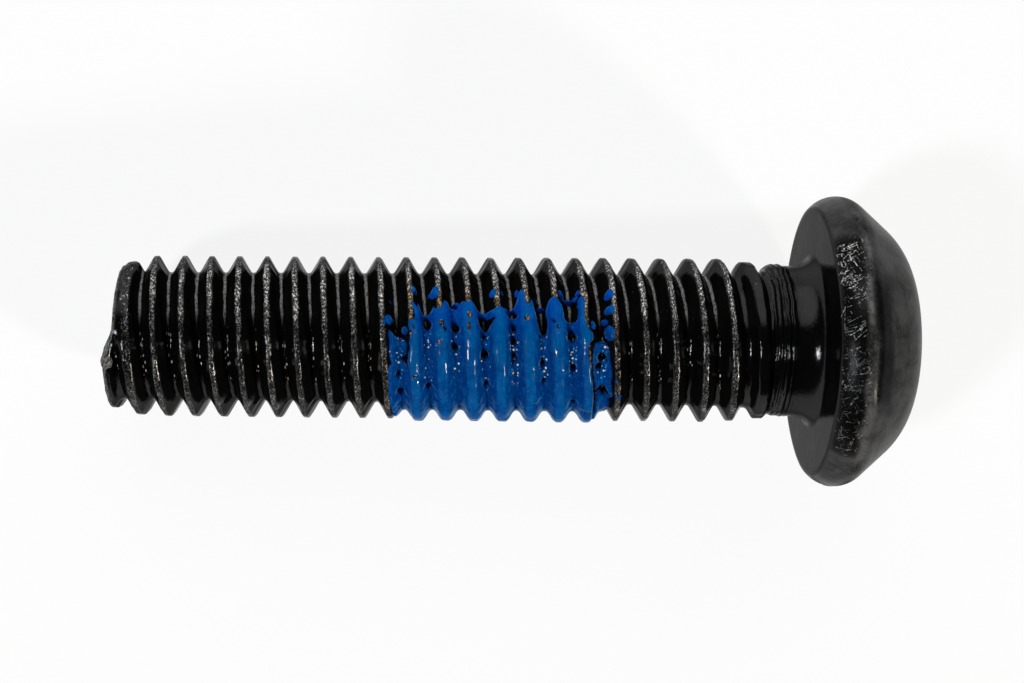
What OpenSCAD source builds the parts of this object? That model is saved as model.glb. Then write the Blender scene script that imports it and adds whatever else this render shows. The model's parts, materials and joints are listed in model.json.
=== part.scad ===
// Socket screw with a domed head, metric thread and a blue locking patch, lying on its side.
// Millimetres. Z is up and the table is z = 0. The shank runs along X, the head is toward +X.
// The screw rests on the rim of its head and on a thread crest near the tip.

/* [Thread] */
// Outside diameter over the thread crests
major_d = 5.83; // [5.5:0.01:6]
// Pitch of the right-hand thread
pitch = 1; // [0.75:0.05:1.25]
// Radial depth from crest to root
thread_depth = 0.6; // [0.5:0.01:0.65]
// Width of the flat on each crest
crest_flat = 0.16; // [0.08:0.01:0.25]
// Length from the bearing face to the end of the shank
shank_length = 24.61; // [15:0.05:30]
// Axial position of the first full crest, measured from the end of the shank
first_crest = 0.28; // [0.2:0.02:0.5]
// Radius of the flat end of the shank
end_radius = 2.2; // [2:0.01:2.4]
// How far the start of the thread stands out past the flat end
lip = 0.33; // [0:0.02:0.4]
// Length of the chamfer above the flat end
end_chamfer = 0.11; // [0.04:0.01:0.2]
// Facets round the thread, a multiple of 4
around = 32; // [16:4:48]

/* [Neck] */
// Diameter of the plain neck between thread and head
neck_d = 5.34; // [5:0.01:5.6]
// Length of plain neck left by the thread, fillet included
neck_length = 0.8; // [0.7:0.05:1.2]
// Length of the fillet along the neck
fillet_length = 0.72; // [0.4:0.02:0.76]
// Height of the fillet up the bearing face
fillet_height = 0.42; // [0.25:0.01:0.7]

/* [Head] */
// Largest diameter of the head
head_d = 10.26; // [10:0.01:10.5]
// Height of the head
head_h = 3.3; // [3:0.01:3.3]
// Radius of the rounded rim
rim_radius = 0.98; // [0.6:0.01:1.2]
// Height of the largest diameter above the bearing face
rim_height = 0.78; // [0.5:0.01:0.9]
// Angle of the straight flank to the screw's axis
flank_angle = 42.5; // [35:0.5:50]
// Radius of the rounded top of the head
top_radius = 2.9; // [2:0.05:4]

/* [Socket] */
// Width of the six-sided socket across its flats
socket_af = 4; // [3:0.05:4.5]
// Depth of the socket's straight walls
socket_depth = 2.2; // [1.5:0.05:2.4]
// Depth of the cone at the bottom of the socket
socket_cone = 0.5; // [0.2:0.05:0.7]
// Depth of the bevel round the socket's mouth
mouth_bevel = 0.14; // [0:0.01:0.3]

/* [Locking patch] */
// Number of valleys left bare between the end of the shank and the patch
skipped_valleys = 9; // [4:1:12]
// Number of valleys the patch fills
patch_valleys = 8; // [3:1:12]
// Height of the patch over the crests
coat_crest = 0.07; // [0.04:0.01:0.15]
// Thickness of the patch on the flanks beside each crest
coat_flank = 0.09; // [0:0.01:0.12]
// Height of the patch above the roots
coat_root = 0.3; // [0.1:0.01:0.45]
// Angle round the screw at which the patch begins
patch_start_angle = 60; // [0:5:120]
// Angle round the screw at which the patch ends
patch_end_angle = 250; // [150:5:300]

/* [Hidden] */
step = 360 / around;
half = cos(step / 2);
crest_r = major_d / 2;
root_r = crest_r - thread_depth;
neck_r = neck_d / 2;
s_end = -shank_length;
s_join = -neck_length;
lead = s_end + first_crest;
slope = tan(30);
// the thread starts over three quarters of a turn before the first full crest and runs out at the neck
n_a = -round(0.78 * around);
n_b = round((s_join - 0.36 * pitch - lead) / pitch * around);
// rim, flank and top of the head: a rim arc, a straight flank and a top arc, all tangent
rim_r = head_d / 2 - rim_radius;
t1 = [rim_height + rim_radius * sin(flank_angle), rim_r + rim_radius * cos(flank_angle)];
top_u = head_h - top_radius;
top_r = (t1[0] * sin(flank_angle) + t1[1] * cos(flank_angle) - top_radius - top_u * sin(flank_angle))
    / cos(flank_angle);
corner_r = socket_af / 2 / cos(30);
mouth_r = corner_r + mouth_bevel / 2;
mouth_angle = acos((mouth_r - top_r) / top_radius);
mouth_edge = corner_r - 0.006 * socket_af;
rim_low = asin(-rim_height / rim_radius);
// the screw lies on the rim arc and on the crest one turn from the tip
contact_n = round(0.75 * around) - 1;
contact_s = place(contact_n) - crest_half(contact_n);
contact_r = crest_n(contact_n) * half;
span = rim_height - contact_s;
rise = rim_r - contact_r;
tilt = atan2(rise, span) + asin(rim_radius / sqrt(span * span + rise * rise));
axis_z = (rim_r * cos(tilt) + rim_radius - rim_height * sin(tilt));
// ends of the lying screw along X, from the lip at the tip and the top arc of the head
x_right = top_u * cos(tilt) + top_r * sin(tilt) + top_radius;
x_left = min([for (n = [n_a : n_a + around]) lay(V(n, 0))[0]]);
x_mid = (x_left + x_right) / 2;

function theta(n) = (n + 0.5) * step;
function clamp(x) = max(0, min(1, x));
function mix(a, b, w) = a * (1 - w) + b * w;
// crest and root radii along the screw, by pitches from the first crest and from the neck:
// the crests start low at the tip, and crests and roots run out into the neck
function crest_at(s) = crest_r
    - thread_depth * lookup((s - lead) / pitch,
        [[-0.87, 0.56], [-0.52, 0.49], [-0.07, 0.36], [0.43, 0.09], [1.03, 0]])
    - thread_depth * lookup((s - s_join) / pitch, [[-2.4, 0], [-1.8, 0.125], [-1.4, 0.225], [-0.9, 0.26],
        [-0.5, 0.32], [-0.2, (crest_r - neck_r) / thread_depth - 0.02]]);
function root_at(s) = root_r + thread_depth * lookup((s - s_join) / pitch,
    [[-3.1, 0], [-2, 0.07], [-1.05, 0.18], [-0.5, (neck_r - root_r) / thread_depth]]);
// a crest's place along the screw; before the helix starts, the squeezed ridge keeps one distance
function helix(n) = lead + pitch * (n + 0.5) / around;
function place(n) = max(helix(n), lead - 0.53 * pitch);
function crest_n(n) = crest_at(helix(n));
// half the width of a crest, narrower where the ridge starts
function crest_half(n) = (crest_flat / 2 + (crest_r - crest_n(n)) * slope)
    * lookup(n / around, [[-0.6, 0.5], [-0.3, 1]]);
function root_half(r) = (pitch - crest_flat) / 2 - thread_depth * slope + (r - root_r) * slope;
// left edge of a crest: the one beside the flat end is a lip below and a chamfer above
function left_edge(n) = n < n_a + around ? s_end + lookup(n / around, [[-0.5, -lip], [-0.2, end_chamfer]])
    : place(n) - crest_half(n);
// a point as [s, r, angle]
function regular(n, m) =
    let (c = crest_n(n), middle = (place(n) + place(n + around)) / 2, v = root_at(middle))
    m == 0 ? [left_edge(n), c] :
    m == 1 ? [min(place(n) + crest_half(n), s_join - 0.17 * pitch), c] :
    m == 2 ? [min(middle - root_half(v), s_join - 0.1 * pitch), v] :
        [min(middle + root_half(v), s_join - 0.03 * pitch), v];
function ring_e(n) = [s_end, end_radius];
function ring_f(n) = [s_join, 1.0015 * neck_r / half];
function blend(n, m) = let (t = (m + 1) / 5)
    n < n_a + 3 ? mix(mix(ring_e(n), regular(n + around, 0), t), regular(n, m), clamp((n - n_a) / 2)) :
    n > n_b - around / 4 ? mix(regular(n, m), mix(regular(n - around, 3), ring_f(n), t),
        clamp(1 - (n_b - n) / (around / 4))) : regular(n, m);
function V(n, m) = let (p = blend(n, m)) [p[0], p[1], theta(n)];
function cart(p) = [p[0], p[1] * cos(p[2]), p[1] * sin(p[2])];
// the same point after the screw is laid on the table
function lay(p) = let (c = cart(p))
    [c[0] * cos(tilt) - c[2] * sin(tilt), c[1], c[0] * sin(tilt) + c[2] * cos(tilt)];

module lying() {
    translate([-x_mid, 0, axis_z]) rotate([0, -tilt, 0]) children();
}

// tip, thread and runout as one closed skin wound round the axis
module thread() {
    pts = concat([for (j = [0 : around - 1]) cart([ring_e(j)[0], ring_e(j)[1], theta(j)])],
        [for (j = [0 : around - 1]) cart([ring_f(j)[0], ring_f(j)[1], theta(j)])],
        [for (n = [n_a : n_b], m = [0 : 3]) cart(V(n, m))]);
    function e(n) = (n % around + around) % around;
    function f(n) = around + e(n);
    function v(n, m) = 2 * around + (n - n_a) * 4 + m;
    function quad(a, b, c, d) = [[a, c, b], [a, d, c]];
    ee = e(n_a - 1);
    ff = f(n_b + 1);
    faces = concat(
        [[for (j = [0 : around - 1]) j]],
        [[for (j = [around - 1 : -1 : 0]) around + j]],
        [for (n = [n_a : n_b - 1], m = [0 : 2],
            q = quad(v(n, m), v(n + 1, m), v(n + 1, m + 1), v(n, m + 1))) q],
        [for (n = [n_a : n_b - around - 1],
            q = quad(v(n, 3), v(n + 1, 3), v(n + 1 + around, 0), v(n + around, 0))) q],
        [for (n = [n_a : n_a + around - 2], q = quad(e(n), e(n + 1), v(n + 1, 0), v(n, 0))) q],
        [[ee, v(n_a, 0), e(n_a)], [ee, v(n_a, 1), v(n_a, 0)], [ee, v(n_a, 2), v(n_a, 1)],
            [ee, v(n_a, 3), v(n_a, 2)], [ee, v(n_a + around, 0), v(n_a, 3)],
            [ee, v(n_a + around - 1, 0), v(n_a + around, 0)]],
        [for (n = [n_b - around + 1 : n_b - 1], q = quad(v(n, 3), v(n + 1, 3), f(n + 1), f(n))) q],
        [[ff, v(n_b, 3), f(n_b)], [ff, v(n_b, 2), v(n_b, 3)], [ff, v(n_b, 1), v(n_b, 2)],
            [ff, v(n_b, 0), v(n_b, 1)], [ff, v(n_b - around, 3), v(n_b, 0)],
            [ff, v(n_b - around + 1, 3), v(n_b - around, 3)]]);
    polyhedron(points = pts, faces = faces, convexity = 10);
}

// neck, fillet, bearing face, rim, flank and rounded top, turned round the axis
module head_body() {
    profile = concat(
        [[0, s_join - 0.04 * pitch], [neck_r - 0.06 * pitch, s_join - 0.04 * pitch], [neck_r, s_join]],
        [for (i = [0 : 6]) let (a = i * 15)
            [neck_r + fillet_height * (1 - cos(a)), -fillet_length * (1 - sin(a))]],
        [for (i = [0 : 9]) let (a = rim_low + (flank_angle - rim_low) * i / 9)
            [rim_r + rim_radius * cos(a), rim_height + rim_radius * sin(a)]],
        [for (i = [0 : 6]) let (a = flank_angle + (90 - mouth_angle_off() - flank_angle) * i / 6)
            [top_r + top_radius * cos(a), top_u + top_radius * sin(a)]],
        [[0, mouth_u()]]);
    rotate([0, 90, 0]) rotate_extrude($fn = 96) polygon(profile);
}
function mouth_angle_off() = 90 - mouth_angle;
function mouth_u() = top_u + top_radius * sin(mouth_angle);

module socket() {
    rotate([0, 90, 0]) {
        translate([0, 0, head_h - socket_depth]) linear_extrude(height = 2 * socket_depth)
            polygon([for (i = [0 : 5]) corner_r * [cos(i * 60 + 30), sin(i * 60 + 30)]]);
        translate([0, 0, head_h - socket_depth - socket_cone])
            cylinder(h = socket_cone * 1.002, r1 = socket_af * 0.012, r2 = socket_af * 0.485, $fn = 48);
        translate([0, 0, mouth_u() - mouth_bevel])
            cylinder(h = 3 * mouth_bevel, r1 = mouth_edge - mouth_bevel, r2 = mouth_edge + 2 * mouth_bevel,
                $fn = 48);
    }
}

module screw() {
    color([0.09, 0.09, 0.1]) lying() difference() {
        union() {
            thread();
            head_body();
        }
        socket();
    }
}

// nylon patch: its inner skin is the thread's own, its outer skin lies over crests and in the roots
module locking_patch() {
    c0 = round(patch_start_angle / step - 0.5);
    c1 = round(patch_end_angle / step - 0.5);
    cols = c1 - c0 + 1;
    rows = 4 * patch_valleys;
    function at(c, i) = V((skipped_valleys + floor((i + 1) / 4)) * around + c, (i + 1) % 4);
    function share(c, i) = min(1, 0.4 + 0.3 * min(c - c0, c1 - c)) * (min(i, rows - 1 - i) < 3 ? 0.5 : 1);
    function over(m) = m < 2 ? [(2 * m - 1) * coat_flank, coat_crest, 0] : [0, coat_root, 0];
    function up(c, i) = at(c, i) + share(c, i) * over((i + 1) % 4);
    pts = concat([for (c = [c0 : c1], i = [0 : rows - 1]) cart(at(c, i))],
        [for (c = [c0 : c1], i = [0 : rows - 1]) cart(up(c, i))]);
    total = cols * rows;
    function a(c, i) = (c - c0) * rows + i;
    function b(c, i) = total + (c - c0) * rows + i;
    faces = concat(
        [for (c = [c0 : c1 - 1], i = [0 : rows - 2],
            q = [[a(c, i), a(c + 1, i), a(c + 1, i + 1)], [a(c, i), a(c + 1, i + 1), a(c, i + 1)]]) q],
        [for (c = [c0 : c1 - 1], i = [0 : rows - 2],
            q = [[b(c, i), b(c + 1, i + 1), b(c + 1, i)], [b(c, i), b(c, i + 1), b(c + 1, i + 1)]]) q],
        [for (c = [c0 : c1 - 1], q = [[a(c, 0), b(c + 1, 0), a(c + 1, 0)], [a(c, 0), b(c, 0), b(c + 1, 0)],
            [a(c, rows - 1), a(c + 1, rows - 1), b(c + 1, rows - 1)],
            [a(c, rows - 1), b(c + 1, rows - 1), b(c, rows - 1)]]) q],
        [for (i = [0 : rows - 2],
            q = [[a(c0, i), b(c0, i + 1), b(c0, i)], [a(c0, i), a(c0, i + 1), b(c0, i + 1)],
            [a(c1, i), b(c1, i), b(c1, i + 1)], [a(c1, i), b(c1, i + 1), a(c1, i + 1)]]) q]);
    color([0.02, 0.35, 0.72]) lying() polyhedron(points = pts, faces = faces, convexity = 10);
}

screw();
locking_patch();
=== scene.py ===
"""Looks of a lying socket screw: worn black thread, domed head, blue locking patch, pale table."""

import json
import math

import bpy
import numpy as np
from mathutils import Matrix, Vector


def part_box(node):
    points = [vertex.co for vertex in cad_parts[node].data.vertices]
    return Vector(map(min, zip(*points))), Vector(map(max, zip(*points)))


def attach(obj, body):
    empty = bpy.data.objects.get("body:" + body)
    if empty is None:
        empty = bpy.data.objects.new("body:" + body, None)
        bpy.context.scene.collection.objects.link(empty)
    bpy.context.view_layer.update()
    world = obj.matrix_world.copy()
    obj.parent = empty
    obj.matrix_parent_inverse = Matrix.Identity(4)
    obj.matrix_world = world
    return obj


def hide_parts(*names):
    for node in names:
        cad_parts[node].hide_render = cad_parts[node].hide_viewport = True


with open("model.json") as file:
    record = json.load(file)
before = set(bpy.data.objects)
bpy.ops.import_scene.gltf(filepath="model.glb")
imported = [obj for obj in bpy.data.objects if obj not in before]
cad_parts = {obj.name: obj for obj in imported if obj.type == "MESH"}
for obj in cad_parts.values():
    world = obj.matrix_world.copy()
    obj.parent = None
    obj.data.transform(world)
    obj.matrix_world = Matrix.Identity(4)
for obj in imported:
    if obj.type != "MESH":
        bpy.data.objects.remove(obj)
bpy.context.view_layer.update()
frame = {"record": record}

MM = 0.001

# Thread, in millimetres. "s" runs along the screw from the bearing face toward the head. LEAD is
# the first full crest at angle 0, and at S_JOIN the thread has run out into the neck.
PITCH = 1.0
CREST_R = 2.915
THREAD_DEPTH = 0.6
CREST_FLAT = 0.16
FLANK_SLOPE = math.tan(math.radians(30))
LEAD = -24.33
S_JOIN = -0.8
ROOT_R = CREST_R - THREAD_DEPTH
THREAD_TURNS = (-1.5, 24.5)

# Tip: a flat end with a chamfer above, and below a lip of squeezed metal that stands past it
END_R = 2.2
FLAT_END = LEAD - 0.28
CHAMFER_TOP = LEAD - 0.17
LIP_RIDGE = LEAD - 0.53
LIP_END = LEAD - 0.66
LIP_STEP = 0.3
FACE_PLACE = FLAT_END + 0.05
CUP_R = 1.6
CUP_DEPTH = 0.1

# Neck and head, in millimetres
NECK_R = 2.67
FILLET_LENGTH = 0.72
FILLET_HEIGHT = 0.42
HEAD_R = (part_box("screw")[1].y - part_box("screw")[0].y) / 2 / MM
HEAD_H = 3.3
RIM_RADIUS = 0.98
RIM_HEIGHT = 0.78
FLANK_ANGLE = 42.5
TOP_RADIUS = 2.9

# Socket: half its width across flats, its depth, the depth of the cone below and the share of the
# width where it starts, how far the mouth stands past the corners, and the mouth's rounded lip
SOCKET_R = 2.0
SOCKET_DEPTH = 2.2
SOCKET_CONE = 0.5
CONE_SHARE = 0.94
MOUTH_MARGIN = 0.07
LIP_DROP = 0.015
LIP_INSET = 0.05

# Height that the crests lack near tip and neck, and that the roots gain near the neck: place in
# pitches from LEAD or S_JOIN, then millimetres
TIP_LOSS = ((-0.87, 0.335), (-0.52, 0.295), (-0.07, 0.215), (0.43, 0.055), (1.03, 0))
NECK_LOSS = ((-2.4, 0), (-1.8, 0.075), (-1.4, 0.135), (-0.9, 0.155), (-0.5, 0.19), (-0.2, 0.245))
NECK_RISE = ((-3.1, 0), (-2, 0.04), (-1.05, 0.11), (-0.5, NECK_R - ROOT_R))

# Grooves of the runout, in the mesh and, finer, in the material
RUNOUT_GROOVE = 0.2
RUNOUT_DEPTH = 0.02
FINE_GROOVE = 0.17

# Fineness of the meshes. Rows of thread nearer than ROW_GAP to an end ring are tied to the ring.
COLUMNS = 180
ANGLES = np.arange(COLUMNS) * 360 / COLUMNS
ROW_GAP = 0.015
PATCH_COLUMNS_PER_TURN = 330
PATCH_ROWS_PER_PITCH = 28

# Camera, in millimetres and degrees, and the photograph's frame in pixels
CAMERA_PLACE = (-9.207, 0.5, 69.212)
CAMERA_TURN = (-0.59, -1.555, 0.44)
FOCAL_PIXELS = 1821.6
IMAGE_WIDTH = 1024
CENTRE_PIXEL = 295.6
SENSOR = 36.0


# Small helpers

def smoothstep(a, b, x):
    """0 before a, 1 after b and a soft step between."""
    t = np.clip((np.asarray(x, float) - a) / (b - a), 0, 1)
    return t * t * (3 - 2 * t)


def mix(a, b, w):
    return a * (1 - w) + b * w


def soft_min(a, b, k):
    """The lower of a and b, with the corner rounded over a width k."""
    h = np.clip(0.5 + 0.5 * (b - a) / k, 0, 1)
    return mix(b, a, h) - k * h * (1 - h)


def soft_max(a, b, k):
    return -soft_min(-a, -b, k)


def plateau(edges, x):
    """0 before the first edge, 1 between the second and the third, 0 after the fourth."""
    return smoothstep(edges[0], edges[1], x) * (1 - smoothstep(edges[2], edges[3], x))


def follow(course, x):
    """Value at x on a course of (place, value) pairs."""
    places, values = zip(*course)
    return np.interp(x, places, values)


def angle_between(one, two):
    """Degrees from one angle to another, between -180 and 180."""
    return (two - one + 180) % 360 - 180


def grain(x, y, seed):
    """Smooth noise from -1 to 1 over a plane, one feature to a unit."""
    size = 64
    table = np.random.default_rng(seed).uniform(-1, 1, (size, size))
    x, y = np.broadcast_arrays(np.asarray(x, float), np.asarray(y, float))
    i, j = np.floor(x).astype(int), np.floor(y).astype(int)
    u, v = smoothstep(0, 1, x - i), smoothstep(0, 1, y - j)
    a, b = table[i % size, j % size], table[(i + 1) % size, j % size]
    c, d = table[i % size, (j + 1) % size], table[(i + 1) % size, (j + 1) % size]
    return mix(mix(a, b, u), mix(c, d, u), v)


# The screw's own axis in the row frame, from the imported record's bearing face

def screw_axis():
    """Matrix from screw millimetres (along, sideways, up) to the row frame in metres."""
    face = next(m for m in frame["record"]["mounts"] if m["name"] == "bearing_face")
    along = -Vector(face["axis"]).normalized()
    side = Vector((0, 1, 0))
    place = Matrix((along, side, along.cross(side))).transposed().to_4x4()
    place.translation = Vector(face["pos_m"]) * Vector((1, 0, 1))
    return place @ Matrix.Scale(MM, 4)


SCREW = screw_axis()


def row_points(s, r, angle):
    """Row frame points of places given along, out from and round the screw (angle 90 is up)."""
    turn = np.radians(angle)
    local = np.stack([s, r * np.cos(turn), r * np.sin(turn), np.ones_like(s)], -1)
    return (local @ np.array(SCREW).T)[..., :3]


def new_mesh(name, points, faces):
    """A smooth object from row frame points and faces."""
    mesh = bpy.data.meshes.new(name)
    mesh.from_pydata([tuple(p) for p in points], [], faces)
    mesh.validate()
    mesh.update()
    mesh.polygons.foreach_set("use_smooth", [True] * len(mesh.polygons))
    thing = bpy.data.objects.new(name, mesh)
    bpy.context.scene.collection.objects.link(thing)
    return thing


def add_values(thing, name, values):
    """Keeps one number a vertex on the mesh, for the materials."""
    layer = thing.data.attributes.new(name, "FLOAT", "POINT")
    layer.data.foreach_set("value", np.asarray(values, np.float32))


# Wear of the crests, in millimetres: length along the crest, then depth or width
CHIP_LENGTH, CHIP_DEPTH, CHIP_SPREAD = 0.9, 0.04, 0.02
PIT_LENGTH, PIT_DEPTH = 0.22, 0.014
EDGE_LENGTH, EDGE_WANDER = 0.3, 0.022
CREST_SWELL = 0.008
# The first crest is narrow where it starts, and one burr leans from it (place and width in turns)
START_TURNS = (-0.9, -0.6, -0.55, -0.2)
START_NARROWED = 0.12
BURR_PLACE, BURR_WIDTH, BURR_REACH = 0.045, 0.035, 0.17


# Thread surface: radius at any place along and round the screw

def crest_radius(s):
    """Radius of the crests: low at the tip and running out toward the neck."""
    at_tip = follow(TIP_LOSS, (s - LEAD) / PITCH)
    at_neck = follow(NECK_LOSS, (s - S_JOIN) / PITCH)
    return CREST_R - at_tip - at_neck


def root_radius(s):
    return ROOT_R + follow(NECK_RISE, (s - S_JOIN) / PITCH)


def crest_place(turns):
    """Where a crest lies along the screw, by turns wound from the first full crest."""
    helix = LEAD + PITCH * turns
    return np.where(turns > -1, np.maximum(helix, LIP_RIDGE), helix + LIP_RIDGE - LEAD)


def crest_shape(turns):
    """Crest radius and half widths left and right, worn and chipped, by turns wound from LEAD."""
    arc = turns * 2 * math.pi * CREST_R
    clean = crest_radius(LEAD + PITCH * turns)
    chips = smoothstep(0.5, 0.85, grain(arc / CHIP_LENGTH, 3.3, 11))
    pits = PIT_DEPTH * (1 + grain(arc / PIT_LENGTH, 0.5, 12))
    radius = clean + CREST_SWELL - pits - CHIP_DEPTH * chips
    half = CREST_FLAT / 2 + (CREST_R - clean) * FLANK_SLOPE + CHIP_SPREAD * chips
    half = half - START_NARROWED * plateau(START_TURNS, turns)
    left = half + EDGE_WANDER * grain(arc / EDGE_LENGTH, 7.7, 13)
    right = half + EDGE_WANDER * grain(arc / EDGE_LENGTH, 1.1, 14)
    burr = BURR_REACH + 0.06 * grain(arc / 0.12, 4.2, 15)
    return radius, left, right + burr * np.exp(-((turns - BURR_PLACE) / BURR_WIDTH) ** 2)


def one_crest(s, turns, raised, widened, corner):
    """Radius of the single crest wound turns from the first, with its flanks."""
    crest, left, right = crest_shape(turns)
    off = s - crest_place(turns)
    half = np.where(off < 0, left, right) + widened
    return soft_min(crest + raised, crest + raised - (np.abs(off) - half) / FLANK_SLOPE, corner)


def plain_thread(s, angle, raised=0.0, widened=0.0, filled=0.0, corner=0.05, fillet=0.1):
    """Radius of the thread between tip and neck, bare or under a coat."""
    before = np.floor((s - LEAD) / PITCH - angle / 360) + angle / 360
    ridges = [one_crest(s, before + k, raised, widened, corner) for k in (0, 1)]
    return soft_max(np.maximum(*ridges), root_radius(s) + filled, fillet)


def chamfered(s, start, top, crest, foot, body):
    """The body with a rounded chamfer from start (radius foot) to top (radius crest)."""
    x = np.clip((top - s) / np.maximum(top - start, 0.02), 0, 1)
    return np.where(s < top, np.minimum(body, foot + (crest - foot) * np.sqrt(1 - x * x)), body)


# Angles between which the valley before the first crest opens, and the lip dies away at the back
OPENING = (79, 113)
LIP_FADE = (180, 290)
# Bead of squeezed metal on the lip: along, out from and round the screw, then its radii
BEAD_PLACE = (-24.79, 2.5, 111)
BEAD_RADII = (0.21, 0.2, 0.31)
# Small nubs of metal beside crests, as turns from the first crest and angle, and their size
NUBS = ((3.11, 144), (4.12, 146), (5.09, 149), (2.0, 330), (6.97, 268), (19.03, 35), (20.98, 205))
NUB_HEIGHT = 0.12
NUB_WIDTH = 0.09
NUB_LENGTH = 0.13
# Upper side of the first crest: its middle, its roughness and how far it is rounded off
ROUGH_ANGLE = 350
TIP_ROUGHNESS = 0.045
TIP_ROUNDING = 0.15


def end_place(angle):
    """How far the shank reaches at its tip, by angle."""
    a = np.asarray(angle, float) % 360
    lip = mix(LIP_END, FLAT_END, smoothstep(*LIP_FADE, a))
    return mix(FLAT_END, lip, smoothstep(*OPENING, a))


def nubs(s, a):
    """Height of the nubs at s, by angle."""
    height = np.zeros(np.shape(s))
    for turns, angle in NUBS:
        along = s - LEAD - PITCH * (turns + angle / 360)
        round_it = np.radians(angle_between(angle, a)) * CREST_R
        hump = np.exp(-(along / NUB_WIDTH) ** 2 - (round_it / NUB_LENGTH) ** 2)
        height = np.maximum(height, NUB_HEIGHT * hump)
    return height


def tip_burrs(s, a):
    """Roughness of the squeezed metal on the first crest, strongest on its upper side."""
    place = 1 - smoothstep(LEAD - 0.05, LEAD + 0.35, s)
    side = smoothstep(-0.2, 0.9, np.cos(np.radians(a - ROUGH_ANGLE)))
    rounded_off = TIP_ROUNDING * side * (1 - smoothstep(FLAT_END, FLAT_END + 0.4, s))
    return TIP_ROUGHNESS * place * side * (grain(s / 0.16, a / 4.5, 22) - 0.6) - rounded_off


def shank_radius(s, angle):
    """Radius of the whole shank at s, by angle."""
    a = np.asarray(angle, float) % 360
    body = plain_thread(s, a)
    start = end_place(a)
    first, _, _ = crest_shape(a / 360)
    land = np.where(s < LEAD + PITCH * a / 360, first, body)
    filled = chamfered(s, start, CHAMFER_TOP, first, END_R, land)
    lip, _, _ = crest_shape(a / 360 - 1)
    fade = smoothstep(*LIP_FADE, a)
    top = mix(LIP_RIDGE - 0.02, CHAMFER_TOP, fade)
    foot = mix(lip - LIP_STEP, END_R, fade)
    land = np.where(s < crest_place(a / 360 - 1), lip, body)
    opened = chamfered(s, start, top, lip, foot, land)
    radius = mix(filled, opened, smoothstep(*OPENING, a)) + tip_burrs(s, a) + nubs(s, a)
    grooves = RUNOUT_DEPTH * np.cos(2 * math.pi * (s - PITCH * a / 360) / RUNOUT_GROOVE)
    grooves = grooves * smoothstep(S_JOIN - 0.9, S_JOIN - 0.5, s)
    return mix(radius + grooves, NECK_R, smoothstep(S_JOIN - 0.45, S_JOIN, s))


def thread_rows():
    """Row places over one pitch as (zone, share of the zone), from one root to the next."""
    half = [("root", 0.5), ("flank", 0.95), ("flank", 0.68), ("flank", 0.4), ("flank", 0.12),
            ("crest", 0.85), ("crest", 0.45)]
    left = [(zone, share, -1) for zone, share in half]
    right = [(zone, share, 1) for zone, share in reversed(half)]
    return [("root", 1.0, -1)] + left + [("crest", 0.0, 1)] + right


def row_offset(zone, share, side, turns):
    """Distance of a row from its crest along the screw."""
    crest, left, right = crest_shape(turns)
    half = left if side < 0 else right
    s = crest_place(turns)
    middle = np.abs(crest_place(turns + side) - s) / 2
    foot = np.minimum(half + (crest - root_radius(s + side * middle)) * FLANK_SLOPE, middle * 0.96)
    half = np.minimum(half, foot * 0.8)
    if zone == "crest":
        off = share * half
    elif zone == "flank":
        off = mix(half, foot, share)
    else:
        off = mix(foot, middle, share)
    return side * off


# Looks kept on each vertex, mostly from 0 to 1: rubbed crest, rubbed rim, satin dome with a painted
# highlight and a painted dark streak, lost gloss, valley near the neck, and broken grey metal,
# which on the nubs is partly a painted highlight
LOOKS = ("wear", "scuff", "satin", "dull", "root", "grey")


class Skin:
    """One skin under construction: places on the screw, their wear, and faces."""

    def __init__(self):
        self.s, self.r, self.angle, self.faces = [], [], [], []
        self.looks = {name: [] for name in LOOKS}
        self.count = 0

    def add(self, s, r, angle, wear=0.0, **looks):
        """Adds points with their looks and gives their numbers."""
        s, r, angle, wear = np.broadcast_arrays(s, r, angle, wear)
        looks["wear"] = wear
        for store, values in ((self.s, s), (self.r, r), (self.angle, angle)):
            store.append(np.asarray(values, float).ravel())
        for name, store in self.looks.items():
            store.append(np.broadcast_to(looks.get(name, 0.0), s.shape).astype(float).ravel())
        first, self.count = self.count, self.count + s.size
        return np.arange(first, self.count).reshape(s.shape)

    def quads(self, a, b, c, d):
        """Faces between four equal arrays of point numbers; corners that coincide drop out."""
        for corners in zip(*(numbers.ravel().tolist() for numbers in (a, b, c, d))):
            kept = [p for i, p in enumerate(corners) if p != corners[i - 1]]
            if len(set(kept)) == len(kept) and len(kept) > 2:
                self.faces.append(kept)

    def rings(self, one, two):
        """Faces between two closed rings, the second one further toward the head."""
        self.quads(one, np.roll(one, -1), np.roll(two, -1), two)

    def grow(self, before, s, r, wear=0.0, toward_tip=False, **looks):
        """Adds a ring of all columns, joined to the ring before it, and gives it."""
        ring = self.add(s, r, ANGLES, wear, **looks)
        self.rings(*((ring, before) if toward_tip else (before, ring)))
        return ring

    def build(self, name):
        s, r, angle = (np.concatenate(v) for v in (self.s, self.r, self.angle))
        thing = new_mesh(name, row_points(s, r, angle), self.faces)
        for look, values in self.looks.items():
            add_values(thing, look, np.concatenate(values))
        return thing


def thread_looks(zone, share, s, angle):
    """Looks of a row of the thread: wear and valley by its zone, the rest by its place."""
    wear = {"crest": 1.0, "flank": max(0, 0.75 - 2.5 * share), "root": 0.0}[zone]
    wear = wear * (1 - 0.6 * smoothstep(S_JOIN - 2.5, S_JOIN - 1.2, s))
    wear = wear * (0.7 + 0.3 * smoothstep(LEAD, LEAD + 0.5, s))
    near_neck = 1 - smoothstep(S_JOIN - 2.6, S_JOIN - 1.6, s)
    root = (zone == "root") * (0.4 + 0.6 * share) * near_neck
    grey = 1 - smoothstep(0.1, 0.18, s - end_place(angle))
    # The nubs are grey: partly broken metal, partly a painted highlight standing in for their
    # shading.
    grey = np.maximum(grey, nubs(s, angle) / NUB_HEIGHT)
    dull = np.exp(-((angle - OPENING[0]) / 9) ** 2) * (s < LEAD + 0.2)
    return {"wear": wear, "root": root, "grey": grey, "dull": dull}


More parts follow.
